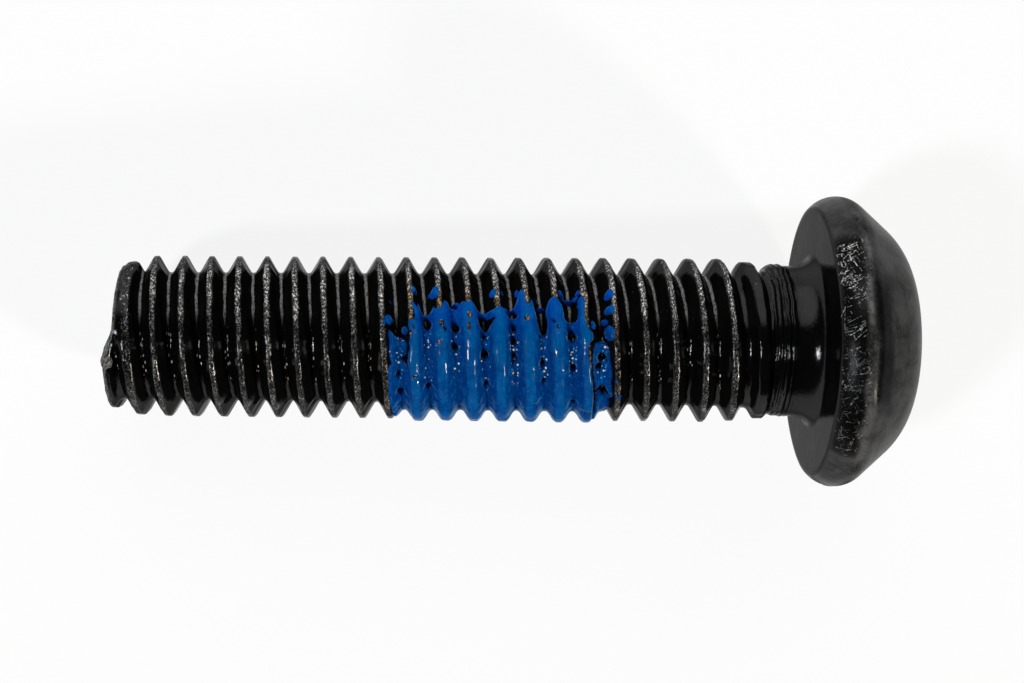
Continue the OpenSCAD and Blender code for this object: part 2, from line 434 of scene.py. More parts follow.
def add_shank(skin):
    """Tip ring, thread and neck ring; gives the two rings."""
    start = end_place(ANGLES)
    ring_end = skin.add(start, shank_radius(start, ANGLES), ANGLES, 0.4, grey=1.0)
    ring_neck = skin.add(S_JOIN, NECK_R, ANGLES)
    first, last = (int(turns * COLUMNS) for turns in THREAD_TURNS)
    n = np.arange(first, last + 1)
    turns, angle = n / COLUMNS, (n % COLUMNS) * 360 / COLUMNS
    start = end_place(angle)
    rows = thread_rows()
    grid = np.zeros((len(rows), len(n)), int)
    for j, (zone, share, side) in enumerate(rows):
        s = crest_place(turns) + row_offset(zone, share, side, turns)
        at_end = s <= start + ROW_GAP
        at_neck = s >= S_JOIN - ROW_GAP
        free = ~at_end & ~at_neck
        free_s, free_angle = s[free], angle[free]
        grid[j, free] = skin.add(free_s, shank_radius(free_s, free_angle), free_angle,
                                 **thread_looks(zone, share, free_s, free_angle))
        grid[j, at_end] = ring_end[n[at_end] % COLUMNS]
        grid[j, at_neck] = ring_neck[n[at_neck] % COLUMNS]
    for one, two in zip(grid, grid[1:]):
        skin.quads(one[:-1], one[1:], two[1:], two[:-1])
    one, two = grid[-1], grid[0]
    skin.quads(one[:-1 - COLUMNS], one[1:-COLUMNS], two[1 + COLUMNS:], two[COLUMNS:-1])
    return ring_end, ring_neck


def add_tip(skin, ring):
    """End of the shank: rounded edge, and a shallow rough cup where metal was squeezed outward."""
    turn = np.radians(ANGLES)
    start = end_place(ANGLES)
    edge = shank_radius(start, ANGLES)
    for share, depth in ((0.97, -0.02), (0.92, 0.0), (0.86, 0.25), (0.8, 0.7), (0.72, 1.0)):
        s = mix(start, FACE_PLACE, depth) if depth > 0 else start + depth
        wear, grey = (0.1, 0.35) if depth > 0 else (0.5, 1.0)
        ring = skin.grow(ring, s, edge * share, wear, True, grey=grey)
    for r in (1.3, 0.9, 0.5, 0.2):
        bumps = 0.02 * grain(r * np.cos(turn) * 3, r * np.sin(turn) * 3, 21)
        cup = CUP_DEPTH * (1 - (r / CUP_R) ** 2)
        ring = skin.grow(ring, FACE_PLACE + cup + bumps, r, 0.1, True, grey=0.35)
    centre = skin.add([FACE_PLACE + CUP_DEPTH], 0.0, 0.0, 0.1, grey=0.35)
    skin.rings(np.repeat(centre, COLUMNS), ring)


def add_bead(skin):
    """Small rough bead of metal on the lip, its inner half inside the lip."""
    place_s, place_r, place_angle = BEAD_PLACE
    radius_s, radius_r, radius_round = BEAD_RADII
    across = np.radians(np.arange(0, 360, 15))
    poles = [skin.add([place_s + end * radius_s], place_r, place_angle, 0.4, grey=1.0)
             for end in (-1, 1)]
    ring = np.repeat(poles[0], len(across))
    for turn in np.radians(np.arange(-75, 90, 15)):
        size = math.cos(turn) * (1 + 0.14 * grain(np.degrees(across) / 50, 3 * turn, 23))
        r = place_r + radius_r * size * np.cos(across)
        angle = place_angle + np.degrees(radius_round * size * np.sin(across) / place_r)
        outer = skin.add(place_s + radius_s * math.sin(turn), r, angle, 0.4, grey=1.0)
        skin.rings(ring, outer)
        ring = outer
    skin.rings(ring, np.repeat(poles[1], len(across)))


def arc_points(s, r, radius, degrees):
    """Points (s, r) round a centre: angle 0 is outward, 90 toward the top of the head."""
    return [(s + radius * math.sin(a), r + radius * math.cos(a)) for a in np.radians(degrees)]


def head_profile():
    """Points (s, r) from the neck over fillet, bearing face, rim, flank and rounded top."""
    points = [(-FILLET_LENGTH - 0.03, NECK_R)]
    for a in np.radians(np.linspace(0, 90, 10)):
        points.append((-FILLET_LENGTH * (1 - math.sin(a)),
                       NECK_R + FILLET_HEIGHT * (1 - math.cos(a))))
    rim_r = HEAD_R - RIM_RADIUS
    low = math.degrees(math.asin(-RIM_HEIGHT / RIM_RADIUS))
    edge_r = rim_r + RIM_RADIUS * math.cos(math.radians(low))
    for share in (0.03, 0.2, 0.45, 0.7, 0.9, 0.97):
        points.append((0.0, mix(NECK_R + FILLET_HEIGHT, edge_r, share)))
    points += arc_points(RIM_HEIGHT, rim_r, RIM_RADIUS, np.linspace(low + 2, FLANK_ANGLE, 22))
    turn = math.radians(FLANK_ANGLE)
    flank_s, flank_r = points[-1]
    top_s = HEAD_H - TOP_RADIUS
    top_r = flank_r + ((flank_s - top_s) * math.sin(turn) - TOP_RADIUS) / math.cos(turn)
    arc_s, arc_r = arc_points(top_s, top_r, TOP_RADIUS, [FLANK_ANGLE])[0]
    for share in np.linspace(0.1, 0.9, 9):
        points.append((mix(flank_s, arc_s, share), mix(flank_r, arc_r, share)))
    mouth_r = SOCKET_R / math.cos(math.radians(30)) + MOUTH_MARGIN
    mouth = math.degrees(math.acos((mouth_r - top_r) / TOP_RADIUS))
    return points + arc_points(top_s, top_r, TOP_RADIUS, np.linspace(FLANK_ANGLE, mouth, 16))


# Rubbed places round the rim: angle, half width, strength
SCUFFS = (
    (57, 11, 1.0), (80, 12, 0.45), (115, 23, 0.9), (185, 14, 0.6), (232, 20, 1.0), (300, 25, 0.8),
    (345, 8, 0.6))
# Bands of the dome by height: where each starts, is full, is still full, and ends
PALE_BAND = (0.72, 0.95, 1.05, 1.3)
DARK_STREAK = (1.05, 1.2, 1.65, 1.9)
SCUFFED_RIM = (0.0, 0.14, 0.8, 1.1)
# Middle of the streak and of the band's palest part, and where each fades to its sides. The streak,
# where the dome faces up, is a painted dark reflection; the palest part, on the side toward the key
# light, is a painted highlight.
STREAK_ANGLE, STREAK_FADE = 89, (19, 33)
PALE_ANGLE, PALE_FADE = 62, (20, 40)


def rubbed(angles):
    """How much the rim is rubbed, by angle."""
    most = np.zeros(len(angles))
    for centre, width, strength in SCUFFS:
        away = np.abs(angle_between(centre, angles))
        most = np.maximum(most, strength * (1 - smoothstep(width - 3, width + 3, away)))
    return most


def head_finish(s, angles):
    """Satin with painted light, dullness and greyness of the dome: palest beside the rim, with a
    painted highlight on the side toward the key light and a painted dark reflection as a streak
    above.
    """
    plain_rim = smoothstep(0, 0.1, s) * (1 - np.minimum(1, 2 * rubbed(angles)))
    s = s + 0.12 * grain(angles / 9, s * 3, 43)
    # Painted dark reflection: a streak where the dome faces up, darker in colour and duller.
    band = plateau(PALE_BAND, s)
    away = np.abs(angle_between(STREAK_ANGLE, angles))
    streak = plateau(DARK_STREAK, s) * (1 - smoothstep(*STREAK_FADE, away))
    dome = smoothstep(*PALE_BAND[:2], s) * (0.6 + 0.4 * band) * (1 - 0.75 * streak)
    dull = np.maximum(0.6 * streak, 0.8 * band) + 0.25 * dome * (1 - band)
    # Painted highlight: the band is paler still on the side toward the key light.
    away = np.abs(angle_between(PALE_ANGLE, angles))
    pale = band * (1 - smoothstep(*PALE_FADE, away))
    return np.maximum(dome * (1 + 0.55 * pale), 0.6 * plain_rim), dull, 0.15 * band


# Scratches placed on the rim: from (along, angle) to (along, angle), width
RIM_LINES = (
    (0.02, 80, 0.14, 76, 0.05), (0.23, 87.5, 0.74, 83.5, 0.06), (0.36, 89.5, 0.76, 85, 0.06),
    (0.1, 83, 0.62, 80, 0.035), (0.12, 85, 0.7, 83.5, 0.035), (0.02, 62.5, 0.2, 60, 0.05),
    (0.1, 57, 0.45, 53.5, 0.06), (0.33, 63.5, 0.55, 67.5, 0.07), (0.3, 60, 0.03, 67, 0.07),
    (0.1, 86, 0.13, 76, 0.04), (0.12, 56.5, 0.16, 59.5, 0.09), (0.4, 55, 0.44, 57.5, 0.08),
    (0.24, 62, 0.33, 61.5, 0.1), (0.5, 58, 0.6, 60.5, 0.06))
# Seeded scratches: clusters on the rubbed places, how many in each and how far apart, and the
# height of a ridge above the rim
CLUSTERS_PER_DEGREE = 0.45
CLUSTER_SIZE = (2, 9)
CLUSTER_SPREAD = (0.07, 1.4)
CLUSTER_HEIGHTS = (0.1, 0.72)
RIDGE = 0.012


def rim_lines():
    """Scratches (s, angle, s, angle, width): the placed ones, and the seeded ones."""
    rng = np.random.default_rng(44)
    low, high = CLUSTER_HEIGHTS
    lines = list(RIM_LINES)
    for centre, width, strength in SCUFFS:
        number = int(CLUSTERS_PER_DEGREE * width * strength)
        clusters = rng.uniform((low, centre - width), (high, centre + width), (number, 2))
        for cluster in np.repeat(clusters, rng.integers(*CLUSTER_SIZE, len(clusters)), 0):
            s, angle = cluster + rng.normal(0, CLUSTER_SPREAD)
            length = rng.uniform(0.06, 0.14) * (1 + 3 * rng.uniform() ** 2)
            turn = math.radians(rng.normal(-45, 45))
            s = min(max(s, 0.03), 0.8)
            end_s = min(max(s + length * math.cos(turn), 0.02), 0.82)
            end_angle = angle + math.degrees(length * math.sin(turn) / HEAD_R)
            scratch = rng.uniform(0.02, 0.05) + 0.08 * rng.uniform() ** 4
            lines.append((s, angle, end_s, end_angle, scratch))
    return lines


def add_rim_lines(skin):
    """Low ridges of bare metal along the scratches, their edges sunk into the rim."""
    profile = np.array([point for point in head_profile() if 0 <= point[0] <= 1.2])
    t = np.linspace(0, 1, 5)
    swell = np.sqrt(np.sin(math.pi * np.clip(t, 0.06, 0.94)))
    for s0, a0, s1, a1, width in rim_lines():
        along, round_it = s1 - s0, math.radians(a1 - a0) * HEAD_R
        length = math.hypot(along, round_it)
        half = width / 2 * swell
        rails = []
        for side, height in ((-1, -RIDGE), (0, RIDGE), (1, -RIDGE)):
            s = np.maximum(mix(s0, s1, t) + side * half * round_it / length, 0.01)
            angle = mix(a0, a1, t) - np.degrees(side * half * along / length / HEAD_R)
            rails.append(skin.add(s, np.interp(s, *profile.T) + height, angle, 1.8))
        for low, high in zip(rails, rails[1:]):
            skin.quads(low[:-1], low[1:], high[1:], high[:-1])


def add_socket(skin, ring):
    """Six-sided socket with a bevelled mouth and a cone at the bottom."""
    mouth_s, mouth_r = head_profile()[-1]
    lip_r = mouth_r - LIP_INSET
    wall = SOCKET_R / np.cos(np.radians(ANGLES % 60 - 30))
    bevel_s = mouth_s - 0.02 - (lip_r - wall)
    floor_s = HEAD_H - SOCKET_DEPTH
    cone_s = floor_s - 0.02
    ring = skin.grow(ring, mouth_s - LIP_DROP, lip_r, 0.3)
    steps = [(bevel_s + 0.02, wall + 0.02), (bevel_s - 0.02, wall),
             (mix(bevel_s, floor_s, 0.5), wall), (floor_s + 0.05, wall),
             (floor_s, wall - 0.04), (cone_s, wall * CONE_SHARE)]
    for share in (0.98, 0.75, 0.5, 0.25, 0.08):
        steps.append((cone_s - SOCKET_CONE * (1 - share), SOCKET_R * CONE_SHARE * share))
    for s, r in steps:
        ring = skin.grow(ring, s, r, 0.05)
    centre = skin.add([cone_s - SOCKET_CONE], 0.0, 0.0)
    skin.rings(ring, np.repeat(centre, COLUMNS))


def add_head(skin, ring):
    """Head with its looks, its socket and the scratches on its rim."""
    for s, r in head_profile():
        scuff = rubbed(ANGLES) * plateau(SCUFFED_RIM, s)
        satin, dull, grey = head_finish(s, ANGLES)
        ring = skin.grow(ring, s, r, scuff=scuff, satin=satin, grey=grey,
                         dull=np.maximum(dull, 0.8 * scuff))
    add_socket(skin, ring)
    add_rim_lines(skin)


def build_screw():
    skin = Skin()
    ring_end, ring_neck = add_shank(skin)
    add_tip(skin, ring_end)
    add_bead(skin)
    add_head(skin, ring_neck)
    return skin.build("worn_screw")


# Locking patch: places are (turns wound from the first crest, angle round the screw)

BODY = (
    (9.71, 155), (9.77, 124), (9.83, 101), (9.93, 97), (9.89, 92), (10.02, 86), (9.87, 81),
    (9.95, 77), (10.1, 77), (10.16, 73), (10.09, 68), (10.0, 65), (10.12, 64), (10.22, 68),
    (10.29, 60), (10.34, 67), (10.44, 71), (10.57, 71), (10.72, 69), (10.79, 65), (10.86, 69),
    (11.07, 69), (11.16, 61), (11.3, 61), (11.39, 65), (11.54, 66), (11.7, 65), (11.78, 61),
    (11.93, 64), (12.11, 62), (12.25, 65), (12.35, 68), (12.57, 69), (12.9, 68), (13.06, 67),
    (13.36, 67), (13.55, 65), (13.69, 60), (13.82, 51), (13.93, 54), (13.98, 65), (14.1, 66),
    (14.2, 58), (14.26, 65), (14.33, 70), (14.39, 79), (14.44, 86), (14.54, 88), (14.65, 86),
    (14.71, 78), (14.66, 69), (14.72, 62), (14.91, 59), (15.16, 62), (15.27, 68), (15.28, 76),
    (15.52, 76), (15.72, 76), (15.78, 70), (15.74, 61), (15.9, 57), (16.02, 62), (15.93, 71),
    (15.96, 80), (16.19, 85), (16.22, 89), (16.05, 92), (15.99, 97), (16.06, 108), (16.12, 121),
    (16.18, 136), (16.15, 155), (16.2, 200), (16.1, 238), (15.0, 246), (13.5, 240), (12.0, 248),
    (10.8, 240), (9.8, 244), (9.7, 200))
LEFT_ISLAND = (
    (9.16, 84), (9.26, 84), (9.41, 88), (9.63, 90), (9.82, 93), (9.78, 101), (9.55, 107),
    (9.79, 110), (9.8, 124), (9.85, 200), (9.9, 236), (9.4, 230), (9.2, 190), (9.1, 141),
    (9.09, 123), (9.13, 110), (9.27, 110), (9.17, 103), (9.22, 94))
RIGHT_ISLAND = (
    (16.25, 93), (16.5, 91), (16.7, 93), (16.76, 102), (16.81, 114), (16.78, 124), (16.85, 134),
    (16.7, 142), (16.77, 152), (16.6, 170), (16.75, 195), (16.5, 228), (16.2, 232), (16.1, 190),
    (16.29, 141), (16.2, 120), (16.13, 106))
TRIANGLE = (
    (12.27, 73), (12.5, 75), (12.97, 73), (12.75, 79), (12.6, 85), (12.45, 84))
# Each is (turns, angle, half width and half length in millimetres)
HOLES = (
    (10.55, 79, 0.15, 0.2), (11.52, 82, 0.14, 0.16), (11.46, 97, 0.1, 0.12),
    (12.47, 103, 0.14, 0.17), (12.48, 89, 0.05, 0.06), (13.53, 71, 0.17, 0.11),
    (13.53, 82, 0.08, 0.1), (13.49, 92, 0.09, 0.13), (13.49, 105, 0.09, 0.13),
    (14.44, 109, 0.07, 0.1), (15.5, 88, 0.15, 0.18), (15.5, 113, 0.1, 0.12),
    (16.5, 104, 0.16, 0.15), (16.34, 111, 0.12, 0.14), (16.42, 133, 0.2, 0.2),
    (16.6, 137, 0.16, 0.14), (9.44, 119, 0.06, 0.07), (9.48, 137, 0.12, 0.14),
    (10.46, 130, 0.08, 0.06), (12.49, 128, 0.07, 0.08), (14.48, 124, 0.06, 0.06),
    (15.48, 148, 0.06, 0.06), (11.5, 205, 0.12, 0.16), (13.52, 190, 0.1, 0.12),
    (14.46, 214, 0.14, 0.16), (12.53, 226, 0.08, 0.1), (10.5, 184, 0.08, 0.1),
    (15.5, 199, 0.12, 0.15))
BARE_CRESTS = (
    (12.02, 73, 0.09, 0.14), (11.97, 81, 0.07, 0.16), (11.04, 79, 0.1, 0.12),
    (11.13, 83, 0.06, 0.08), (13.98, 75, 0.11, 0.09), (14.9, 77, 0.06, 0.08),
    (15.02, 81, 0.05, 0.07), (10.92, 92, 0.06, 0.08), (10.03, 117, 0.07, 0.06),
    (15.97, 152, 0.11, 0.09), (10.03, 71, 0.06, 0.12), (10.05, 82, 0.05, 0.1),
    (12.0, 196, 0.08, 0.14), (14.0, 221, 0.09, 0.12), (13.0, 233, 0.07, 0.12))
DROPS = (
    (10.16, 53, 0.08, 0.15), (10.86, 55, 0.15, 0.21), (10.66, 54, 0.05, 0.05),
    (12.88, 56, 0.11, 0.14), (13.71, 52, 0.05, 0.13), (13.19, 55, 0.04, 0.05),
    (15.23, 55, 0.09, 0.17), (15.47, 58, 0.14, 0.09), (15.66, 57, 0.12, 0.07),
    (15.8, 54, 0.07, 0.08), (16.86, 56, 0.14, 0.17), (16.83, 68, 0.16, 0.15),
    (16.24, 79, 0.09, 0.14), (16.64, 76, 0.12, 0.1), (16.77, 85, 0.15, 0.26),
    (9.24, 76, 0.14, 0.16), (9.06, 79, 0.05, 0.08), (9.75, 84, 0.1, 0.14), (11.58, 62, 0.13, 0.12),
    (14.5, 65, 0.12, 0.1), (17.04, 133, 0.1, 0.05), (16.95, 120, 0.05, 0.05), (9.3, 60, 0.04, 0.04),
    (14.4, 57, 0.03, 0.03), (16.5, 238, 0.1, 0.12), (9.5, 243, 0.08, 0.1), (12.5, 256, 0.09, 0.12),
    (14.6, 252, 0.06, 0.07))

# The coat, in millimetres: one degree round it, its thickness on crests and flanks and its depth in
# valleys, the rounding of its crests and valleys, its rounded edge, how far the mesh goes on past
# the edge, and how far edge and inner skin sink into the steel
COAT_R = 2.75
DEGREE = math.radians(1) * COAT_R
FILM = 0.07
FILM_SIDE = 0.09
FILL = 0.27
COAT_CORNER = 0.19
COAT_FILLET = 0.15
COAT_EDGE = 0.16
EDGE_REACH = 0.03
EDGE_SINK = 0.035
INNER_SINK = 0.06
# Unevenness of its surface: height, length across and round the crests, seed
RIPPLES = ((0.014, 0.3, 0.5, 32), (0.011, 0.13, 0.3, 33))
PATCH_TURNS = (8.9, 17.25)
PATCH_ANGLES = (46, 262)
# Longer than any distance on the patch
FAR = 9.0


def rounded(outline):
    """The closed outline with its corners cut off, as points in millimetres."""
    points = np.array(outline, float) * (PITCH, DEGREE)
    for _ in range(2):
        after = np.roll(points, -1, 0)
        pairs = [0.75 * points + 0.25 * after, 0.25 * points + 0.75 * after]
        points = np.stack(pairs, 1).reshape(-1, 2)
    return points


def inside_outline(x, y, outline):
    """Distance to a closed outline, positive inside it."""
    points = rounded(outline)
    nearest = np.full(x.shape, FAR)
    inside = np.zeros(x.shape, bool)
    for (ax, ay), (bx, by) in zip(points, np.roll(points, -1, 0)):
        ex, ey = bx - ax, by - ay
        share = np.clip(((x - ax) * ex + (y - ay) * ey) / (ex * ex + ey * ey), 0, 1)
        nearest = np.minimum(nearest, np.hypot(x - ax - share * ex, y - ay - share * ey))
        if ey != 0:
            inside ^= ((ay > y) != (by > y)) & (x < ax + (y - ay) * ex / ey)
    return np.where(inside, nearest, -nearest)


def inside_ovals(x, y, ovals):
    """Distance into the nearest of many ovals, positive inside."""
    best = np.full(x.shape, -FAR)
    for turns, angle, width, length in ovals:
        far = np.hypot((x - turns * PITCH) / width, (y - angle * DEGREE) / length)
        best = np.maximum(best, (1 - far) * min(width, length))
    return best


def patch_cover(turns, angle):
    """Distance in millimetres into the patch, negative where the steel is bare."""
    x, y = turns * PITCH, angle * DEGREE
    cover = inside_outline(x, y, BODY)
    for island in (LEFT_ISLAND, RIGHT_ISLAND):
        cover = soft_max(cover, inside_outline(x, y, island), 0.04)
    cover = cover + 0.012 * grain(x / 0.12, y / 0.12, 31)
    cover = np.minimum(cover, -inside_outline(x, y, TRIANGLE))
    for gaps in (HOLES, BARE_CRESTS):
        cover = np.minimum(cover, -inside_ovals(x, y, gaps))
    return np.maximum(cover, inside_ovals(x, y, DROPS))


def coat_radius(s, turns, angle, steel, cover):
    """Radius of the coat: rounded down to the steel at its edges and sunk into it past them."""
    full = plain_thread(s, angle, FILM, FILM_SIDE, FILL, COAT_CORNER, COAT_FILLET)
    for height, across, around, seed in RIPPLES:
        full = full + height * grain(turns / across, angle * DEGREE / around, seed)
    edge = np.clip(cover / COAT_EDGE, 0, 1)
    rounding = np.sqrt(1 - (1 - edge) ** 2)
    return steel + (full - steel) * rounding + np.clip(cover, -EDGE_SINK, 0)


def shell_faces(cells):
    """Numbers of the grid points under the chosen cells, and the faces of a closed double skin."""
    rows, columns = (size + 1 for size in cells.shape)
    number = np.arange(rows * columns).reshape(rows, columns)
    i, j = np.nonzero(cells)
    outer = np.stack([number[i, j], number[i, j + 1], number[i + 1, j + 1], number[i + 1, j]], 1)
    used, outer = np.unique(outer, return_inverse=True)
    outer = outer.reshape(-1, 4)
    under = len(used)
    inner = outer[:, ::-1] + under
    edges = dict.fromkeys((a, b) for face in outer.tolist()
                          for a, b in zip(face, face[1:] + face[:1]))
    walls = [(b, a, a + under, b + under) for a, b in edges if (b, a) not in edges]
    return used, outer.tolist() + inner.tolist() + walls


def build_patch():
    """Blue coat: an outer skin that dips into the steel at its edges, and an inner skin below."""
    rows = np.arange(*PATCH_TURNS, 1 / PATCH_ROWS_PER_PITCH)
    columns = np.arange(*PATCH_ANGLES, 360 / PATCH_COLUMNS_PER_TURN)
    turns, angle = np.meshgrid(rows, columns, indexing="ij")
    s = LEAD + PITCH * (turns + angle / 360)
    steel = shank_radius(s, angle)
    cover = patch_cover(turns, angle)
    corners = [cover[:-1, :-1], cover[1:, :-1], cover[:-1, 1:], cover[1:, 1:]]
    used, faces = shell_faces(np.maximum.reduce(corners) > -EDGE_REACH)
    outer = coat_radius(s, turns, angle, steel, cover).ravel()[used]
    inner = steel.ravel()[used] - INNER_SINK
    s, angle = s.ravel()[used], angle.ravel()[used]
    points = np.concatenate([row_points(s, outer, angle), row_points(s, inner, angle)])
    patch = new_mesh("blue_patch", points, faces)
    add_values(patch, "height", np.tile((outer - ROOT_R) / THREAD_DEPTH, 2))
    return patch


# Node trees

class Tree:
    """Short forms for wiring a node tree."""

    def __init__(self, tree):
        self.tree = tree
        tree.nodes.clear()

    def add(self, kind, values=None, **settings):
        node = self.tree.nodes.new("ShaderNode" + kind)
        for name, value in settings.items():
            setattr(node, name, value)
        for name, value in (values or {}).items():
            self.put(node, name, value)
        return node

    def put(self, node, name, value):
        """Sets an input, or links it where the value is another node's output."""
        if isinstance(value, bpy.types.NodeSocket):
            self.tree.links.new(value, node.inputs[name])
        else:
            node.inputs[name].default_value = value

    def finish(self, shader, kind="OutputMaterial"):
        """Links the shader to the output of the tree."""
        self.put(self.add(kind), "Surface", shader.outputs[0])

    def math(self, operation, first, *others):
        """Result of one math node, or of a chain of them for more than two values."""
        if not others:
            return self.add("Math", {0: first}, operation=operation).outputs[0]
        for value in others:
            first = self.add("Math", {0: first, 1: value}, operation=operation).outputs[0]
        return first

    def product(self, *values):
        return self.math("MULTIPLY", *values)

    def total(self, *values):
        return self.math("ADD", *values)

    def most(self, *values):
        return self.math("MAXIMUM", *values)

    def rest(self, value):
        """What the value leaves of 1."""
        return self.math("SUBTRACT", 1.0, value)

    def part(self, vector, index):
        """One of the three numbers of a vector."""
        return self.add("SeparateXYZ", {0: vector}).outputs[index]

    def step(self, value, low, high):
        """0 below low, 1 above high."""
        return self.add("MapRange", {"Value": value, "From Min": low, "From Max": high},
                        interpolation_type="SMOOTHSTEP").outputs[0]

    def plateau(self, value, start, full, still, end):
        """0 before start, 1 from full to still, 0 after end."""
        return self.product(self.step(value, start, full), self.rest(self.step(value, still, end)))

    def blend(self, factor, a, b):
        """Mixes two colours."""
        node = self.add("Mix", data_type="RGBA")
        for name, value in ((0, factor), (6, a), (7, b)):
            self.put(node, name, value)
        return node.outputs[2]

    def noise(self, vector, scale, detail=2.0, rough=0.5):
        return self.add("TexNoise", {"Vector": vector, "Scale": scale, "Detail": detail,
                                     "Roughness": rough}).outputs["Fac"]

    def bump(self, strength, depth, height, below=None):
        """Normal of a bump, depth in millimetres, over the bump below it."""
        values = {"Strength": strength, "Distance": depth * MM, "Height": height}
        if below is not None:
            values["Normal"] = below
        return self.add("Bump", values).outputs[0]


def new_material(name, kind=Tree):
    """A material and its empty tree."""
    material = bpy.data.materials.new(name)
    material.use_nodes = True
    return material, kind(material.node_tree)


def facing_away(t):
    """0 where the surface faces the eye, rising to 1 at its outline."""
    return t.add("LayerWeight", {"Blend": 0.5}).outputs["Facing"]


def dots(t, vector, scale, size, share):
    """Small round dots, one to a cell in the given share of cells, as a mask."""
    cells = t.add("TexVoronoi", {"Vector": vector, "Scale": scale})
    chosen = t.add("SeparateColor", {0: cells.outputs["Color"]}).outputs[0]
    spot = t.rest(t.step(cells.outputs["Distance"], size * 0.6, size))
    return t.product(spot, t.math("LESS_THAN", chosen, share))


def reflectance(t, calm, least, start, end):
    """Specular level that falls toward a flat glance, down to least where calm is 1."""
    drop = t.product(t.step(facing_away(t), start, end), calm)
    return t.product(0.5, t.rest(t.product(drop, 1 - least)))


def screw_coordinates(t):
    """The place on the screw in millimetres: along, sideways, up."""
    inverse = SCREW.inverted()
    place = t.add("TexCoord").outputs["Object"]
    node = t.add("Mapping", {"Vector": place, "Location": inverse.translation,
                             "Rotation": inverse.to_euler(), "Scale": inverse.to_scale()})
    return node.outputs[0]


def stretched(t, vector, along, around):
    """Coordinates for noise of its own fineness along and round the screw."""
    return t.add("Mapping", {"Vector": vector, "Scale": (along, around, around)}).outputs[0]


def scratches(t, vector, turn, length, width):
    """Thin straight scratches in one direction, in millimetres, as a mask."""
    turned = t.add("Mapping", {"Vector": vector, "Rotation": (0.2, 0.3, math.radians(turn)),
                               "Scale": (length, width, 0.3)}, vector_type="TEXTURE")
    return t.step(t.noise(turned.outputs[0], 1.0, 1.0), 0.66, 0.7)


# Colours of the steel, each pair from dark to light
FINISH = ((0.001, 0.001, 0.0011, 1), (0.003, 0.003, 0.0031, 1))
DOME = ((0.006, 0.006, 0.0061, 1), (0.13, 0.1295, 0.13, 1))
METAL_DARK = (0.02, 0.02, 0.02, 1)
# Bare metal's shaded and lit greys: painted light, shaded on the lower side and lit on the upper
# side
METAL_SHADED_TO_LIT = ((0.19, 0.187, 0.18, 1), (0.78, 0.77, 0.75, 1))
TARNISH = ((0.02, 0.013, 0.006, 1), (0.55, 0.37, 0.16, 1))
# Painted highlight: grey of the root lines on the upper side, in place of the key light's
# reflection
PAINTED_ROOT_HIGHLIGHT = (0.24, 0.238, 0.234, 1)
# Painted glint: pale dashes in the valleys below the middle
PAINTED_GLINT = (0.9, 0.85, 0.75, 1)
# Broken grey metal, which on the nubs is partly a painted highlight
BROKEN_AND_NUB_GREY = ((0.012, 0.012, 0.012, 1), (0.2, 0.198, 0.194, 1))
# Where metal is tarnished by the patch, and where the runout grooves lie, both along the screw
TARNISHED = (-15.4, -14.2, -7.9, -6.6)
RUNOUT = (S_JOIN - 1.15, S_JOIN - 0.85, S_JOIN - 0.35, S_JOIN - 0.1)


class SteelTree(Tree):
    """Node tree of the steel, with the places, vertex looks and noises that its parts share."""

    def __init__(self, tree):
        super().__init__(tree)
        self.place = screw_coordinates(self)
        self.along, self.sideways = self.part(self.place, 0), self.part(self.place, 1)
        self.look = {name: self.add("Attribute", attribute_name=name).outputs["Fac"]
                     for name in LOOKS}
        self.fine = self.noise(stretched(self, self.place, 19.0, 14.0), 1.0, 3.0, 0.6)
        self.coarse = self.noise(self.place, 1.7, 3.0)
        self.rub = self.noise(stretched(self, self.place, 17.0, 9.0), 1.0, 3.0, 0.75)


def bare_places(t):
    """Where the finish is off: worn crests, scratches and flecks of the rim, and fine specks, all
    faded out toward the outlines as painted shade.
    """
    wear, scuff = t.look["wear"], t.look["scuff"]
    level = t.total(t.product(wear, 0.44), t.product(t.coarse, 0.2))
    crests = t.step(t.math("SUBTRACT", level, t.rub), -0.05, 0.12)
    crests = t.product(crests, t.step(wear, 0.15, 0.5))
    lines = t.most(scratches(t, t.place, 28, 0.7, 0.05), scratches(t, t.place, -55, 0.5, 0.04))
    flecks = t.total(t.noise(t.place, 6.0, 4.0, 0.75), t.product(scuff, 0.1))
    groups = t.step(t.noise(t.place, 2.4, 2.0), 0.46, 0.58)
    flecks = t.product(t.step(flecks, 0.66, 0.71), groups)
    marks = t.product(t.most(lines, flecks), t.step(scuff, 0.2, 0.5))
    specks = t.product(t.step(t.fine, 0.72, 0.76), 0.5)
    # Painted shade: bare metal is hidden where the surface turns away from the eye, so outlines
    # stay dark.
    glancing = t.product(t.step(facing_away(t), 0.4, 0.68), 0.8)
    return t.product(t.most(crests, marks, specks), t.rest(glancing))


def metal_colour(t):
    """Bare metal: dark and bright facets, the bright ones brighter on the upper side as painted
    light and uneven at random, tarnished by the patch.
    """
    facets = t.step(t.fine, 0.42, 0.64)
    uneven = t.product(t.math("SUBTRACT", t.coarse, 0.5), 3.0)
    # Painted light: the bright facets go from shaded grey on the lower side to lit grey on the
    # upper side, and vary at random.
    bright = t.blend(t.total(t.step(t.sideways, -0.3, 2.2), uneven), *METAL_SHADED_TO_LIT)
    tarnished = t.product(t.plateau(t.along, *TARNISHED), t.rest(t.step(t.sideways, 1.3, 2.2)), 0.8)
    return t.blend(tarnished, t.blend(facets, METAL_DARK, bright), t.blend(facets, *TARNISH))


def painted_valley_glints(t):
    """Painted glints: short bright dashes in the valleys near the neck, in a narrow band just below
    the middle.
    """
    dashes = dots(t, stretched(t, t.place, 13.0, 5.0), 1.0, 0.36, 0.5)
    band = t.plateau(t.sideways, -1.9, -1.1, -0.6, 0.5)
    return t.product(dashes, t.step(t.rub, 0.3, 0.6), t.step(t.look["root"], 0.1, 0.4), band)


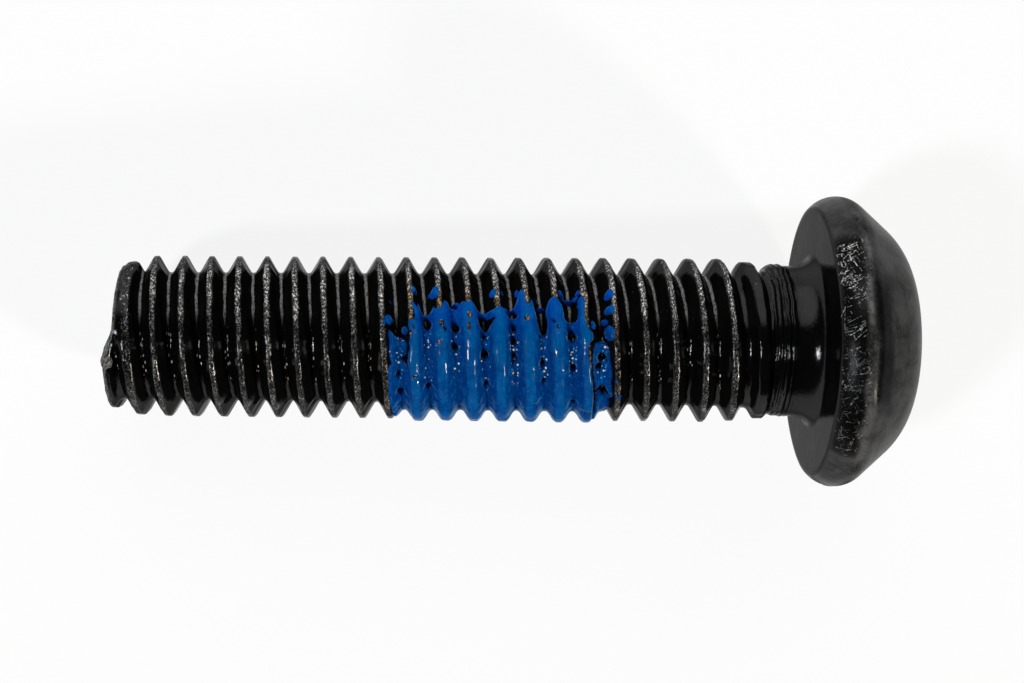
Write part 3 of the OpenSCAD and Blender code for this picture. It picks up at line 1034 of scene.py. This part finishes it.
def steel_colour(t, bare, painted_root_highlight):
    """Black finish, cloudy on the dome, with a painted root highlight, bare metal, painted glints
    and broken grey metal, which on the nubs is partly a painted highlight.
    """
    cloud = t.total(t.noise(t.place, 0.9, 4.0, 0.65), t.product(t.fine, 0.15))
    # The satin look carries the dome's painted highlight and painted dark streak into its colour.
    dome = t.blend(t.step(cloud, 0.43, 0.7), *DOME)
    satin = t.product(t.math("POWER", t.look["satin"], 1.5), 0.5)
    black = t.blend(painted_root_highlight, t.blend(satin, t.blend(t.coarse, *FINISH), dome), PAINTED_ROOT_HIGHLIGHT)
    colour = t.blend(painted_valley_glints(t), t.blend(bare, black, metal_colour(t)), PAINTED_GLINT)
    return t.blend(t.look["grey"], colour, t.blend(t.step(t.rub, 0.4, 0.6), *BROKEN_AND_NUB_GREY))


def steel_normal(t, bare):
    """Lathe marks, grooves of the runout and the grain of bare metal, one over the other."""
    turned = t.noise(stretched(t, t.place, 14.0, 6.0), 1.0, 3.0, 0.6)
    wound = t.total(t.product(t.along, 2 * math.pi / FINE_GROOVE), t.product(t.coarse, 5.0))
    grooves = t.bump(t.plateau(t.along, *RUNOUT), 0.02, t.math("SINE", wound),
                     t.bump(0.8, 0.01, turned))
    uneven = t.total(0.1, t.product(t.most(bare, t.look["grey"]), 0.6))
    return t.bump(uneven, 0.03, t.fine, grooves)


def steel_material():
    """Black finished steel: near black and glossy, rubbed to speckled metal where wear is high."""
    material, t = new_material("black_steel", SteelTree)
    satin = t.look["satin"]
    bare = bare_places(t)
    # Painted highlight: grey root lines on the upper side near the neck, standing in for the key
    # light's reflection in the roots.
    painted_root_highlight = t.product(t.step(t.look["root"], 0.4, 0.8), t.step(t.rub, 0.36, 0.56),
                      t.step(t.sideways, 0.6, 0.95))
    broken = t.most(t.look["grey"], t.look["scuff"], painted_root_highlight)
    rough = t.total(0.07, t.product(satin, 0.4), t.product(bare, 0.2), t.product(t.coarse, 0.05),
                    t.product(broken, 0.25))
    gloss = reflectance(t, t.rest(t.product(satin, 0.35)), 0.02, 0.15, 0.7)
    mottled = t.total(0.6, t.product(t.noise(t.place, 0.9, 4.0, 0.6), 0.8))
    t.finish(t.add("BsdfPrincipled", {
        "Base Color": steel_colour(t, bare, painted_root_highlight), "Metallic": t.product(bare, 0.9),
        "Roughness": rough, "IOR": 1.33, "Normal": steel_normal(t, bare),
        "Specular IOR Level": t.product(gloss, t.rest(t.look["dull"]), mottled)}))
    return material


# Colours of the nylon: deep and high from the lower to the upper side, lighter on the upper side as
# painted light, then its marks
NYLON_DEEP = ((0.0, 0.038, 0.2, 1), (0.0, 0.056, 0.42, 1))
NYLON_HIGH = ((0.0, 0.07, 0.25, 1), (0.0, 0.084, 0.36, 1))
NYLON_STREAK = (0.0, 0.115, 0.37, 1)
NYLON_HAIR = (0.02, 0.2, 0.5, 1)
# Painted sheen where the coat turns away from the eye
NYLON_PAINTED_SHEEN = (0.08, 0.24, 0.42, 1)
# Painted glints in the valleys, cool and warm
NYLON_COOL_GLINT = (0.1, 0.55, 1.0, 1)
NYLON_GLINT = (1.0, 0.9, 0.5, 1)


def nylon_colour(t, place, sideways, height, level, cloud):
    """Blue, darker where it is deep and lighter toward the upper side as painted light, with
    streaks, hairs, a painted sheen at the outline, and painted cool and warm glints in the valleys.
    """
    # Painted light: valley and crest colours grow lighter toward the upper side, where the key
    # light falls.
    upper = t.step(sideways, -0.3, 2.0)
    deep = t.blend(upper, *NYLON_DEEP)
    colour = t.blend(level, deep, t.blend(upper, *NYLON_HIGH))
    streaks = t.noise(stretched(t, place, 14.0, 3.0), 1.0, 4.0, 0.65)
    colour = t.blend(t.product(t.step(streaks, 0.48, 0.66), 0.6), colour, NYLON_STREAK)
    colour = t.blend(t.product(t.rest(t.step(cloud, 0.36, 0.52)), 0.6), colour, deep)
    hairs = t.most(scratches(t, place, 8, 0.9, 0.03), scratches(t, place, -62, 0.4, 0.03))
    colour = t.blend(t.product(hairs, 0.2), colour, NYLON_HAIR)
    # Painted sheen: paler blue where the coat turns away from the eye.
    rim = t.product(t.step(facing_away(t), 0.62, 0.92), t.rest(level), 0.7)
    colour = t.blend(rim, colour, NYLON_PAINTED_SHEEN)
    # Band below the middle where the painted glints show.
    shown = t.product(t.rest(t.step(height, 0.5, 0.62)),
                      t.plateau(sideways, -1.7, -1.1, -0.4, 0.5))
    # Painted glints: pale blue dots and cream dots in the valleys.
    colour = t.blend(t.product(dots(t, place, 9.0, 0.3, 0.3), shown), colour, NYLON_COOL_GLINT)
    return t.blend(t.product(dots(t, place, 6.5, 0.29, 0.55), shown), colour, NYLON_GLINT)


def nylon_material():
    """Fused blue nylon: glossy on its lower side, rippled, with small pits in its valleys."""
    material, t = new_material("blue_nylon")
    place = screw_coordinates(t)
    sideways = t.part(place, 1)
    height = t.add("Attribute", attribute_name="height").outputs["Fac"]
    cloud = t.noise(place, 1.6, 3.0, 0.6)
    lift = t.total(t.product(cloud, 0.12), t.product(t.step(sideways, -1.6, 0.2), 0.11))
    level = t.step(t.total(height, lift), 1.0, 1.2)
    ripples = t.bump(0.6, 0.03, t.noise(stretched(t, place, 9.0, 4.0), 1.0, 3.0, 0.6))
    bubbles = t.add("TexVoronoi", {"Vector": place, "Scale": 6.0}).outputs["Distance"]
    pits = t.product(t.rest(t.step(bubbles, 0.05, 0.4)), t.rest(level))
    gloss = t.product(reflectance(t, 1.0, 0.01, 0.05, 0.4), t.total(0.3, t.product(level, 0.7)),
                      t.rest(t.product(t.step(sideways, 0.0, 0.4), 0.92)))
    t.finish(t.add("BsdfPrincipled", {
        "Base Color": nylon_colour(t, place, sideways, height, level, cloud),
        "Roughness": t.total(0.03, t.product(cloud, 0.05)), "IOR": 1.4,
        "Specular IOR Level": gloss, "Normal": t.bump(1.0, 0.04, pits, ripples)}))
    return material


# Light and table

WHITE = (1, 1, 1, 1)
FLOOR_PAINT = (0.93, 0.93, 0.93, 1)
FLOOR_GLOW = 0.85
FLOOR_SIZE = 3.0
# Wide light behind the screw: its direction, and the angles where it is full and where it ends
KEY_DIRECTION = (0.0, 0.87, 0.5)
KEY_ANGLES = (30, 42)
WORLD_DARK = 0.03
WORLD_WALLS = 0.3
WORLD_KEY = 1.5
SUNS = (
    # direction it comes from, irradiance, angle, colour
    ((-0.66, -0.27, 0.68), 1.8, 7.0, (0.92, 0.97, 1.0)),
    ((0.68, -0.53, 0.45), 2.2, 7.0, (1.0, 0.94, 0.84)),
)


def floor_material():
    """Pale table: part of its white is its own light for camera and mirror rays only."""
    material, t = new_material("table_white")
    rays = t.add("LightPath").outputs
    seen = t.most(rays["Is Camera Ray"], rays["Is Glossy Ray"], rays["Is Transmission Ray"])
    paint = t.add("BsdfDiffuse", {"Color": FLOOR_PAINT}).outputs[0]
    glow = t.add("Emission", {"Color": WHITE, "Strength": 1.0}).outputs[0]
    t.finish(t.add("MixShader", {0: t.product(seen, FLOOR_GLOW), 1: paint, 2: glow}))
    return material


def build_world():
    """A studio: wide soft light behind the screw, pale walls near the table, dark ceiling."""
    world = bpy.data.worlds.new("studio")
    bpy.context.scene.world = world
    world.use_nodes = True
    t = Tree(world.node_tree)
    direction = t.add("TexCoord").outputs["Generated"]
    toward = Vector(KEY_DIRECTION).normalized()
    dot = t.add("VectorMath", {0: direction, 1: toward}, operation="DOT_PRODUCT")
    full, end = (math.cos(math.radians(angle)) for angle in KEY_ANGLES)
    key = t.product(t.step(dot.outputs["Value"], end, full), WORLD_KEY)
    height = t.part(direction, 2)
    walls = t.product(WORLD_WALLS, t.rest(t.step(height, 0.1, 0.2)))
    strength = t.most(key, walls, WORLD_DARK)
    t.finish(t.add("Background", {"Color": WHITE, "Strength": strength}),
             "OutputWorld")


def build_lamps():
    """Two small soft lamps in front, for the glints."""
    for number, (origin, power, angle, colour) in enumerate(SUNS):
        lamp = bpy.data.lights.new("front_lamp_%d" % number, "SUN")
        lamp.energy, lamp.angle, lamp.color = power, math.radians(angle), colour
        thing = bpy.data.objects.new(lamp.name, lamp)
        thing.rotation_euler = Vector(origin).to_track_quat("Z", "Y").to_euler()
        bpy.context.scene.collection.objects.link(thing)


def build_table():
    half = FLOOR_SIZE / 2
    corners = [(-half, -half, 0), (half, -half, 0), (half, half, 0), (-half, half, 0)]
    table = new_mesh("table", corners, [(0, 1, 2, 3)])
    table.data.materials.append(floor_material())


def build_camera():
    data = bpy.data.cameras.new("camera")
    data.sensor_width = SENSOR
    data.lens = FOCAL_PIXELS / IMAGE_WIDTH * SENSOR
    data.shift_x = 0.5 - CENTRE_PIXEL / IMAGE_WIDTH
    data.clip_start = 0.002
    data.clip_end = 10
    camera = bpy.data.objects.new("camera", data)
    camera.location = Vector(CAMERA_PLACE) * MM
    camera.rotation_euler = [math.radians(a) for a in CAMERA_TURN]
    bpy.context.scene.collection.objects.link(camera)
    bpy.context.scene.camera = camera


bpy.context.scene.view_settings.view_transform = "Standard"
build_camera()
build_world()
build_lamps()
build_table()

screw = build_screw()
screw.data.materials.append(steel_material())
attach(screw, "root")
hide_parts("screw")

patch = build_patch()
patch.data.materials.append(nylon_material())
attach(patch, "root")
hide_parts("locking_patch")
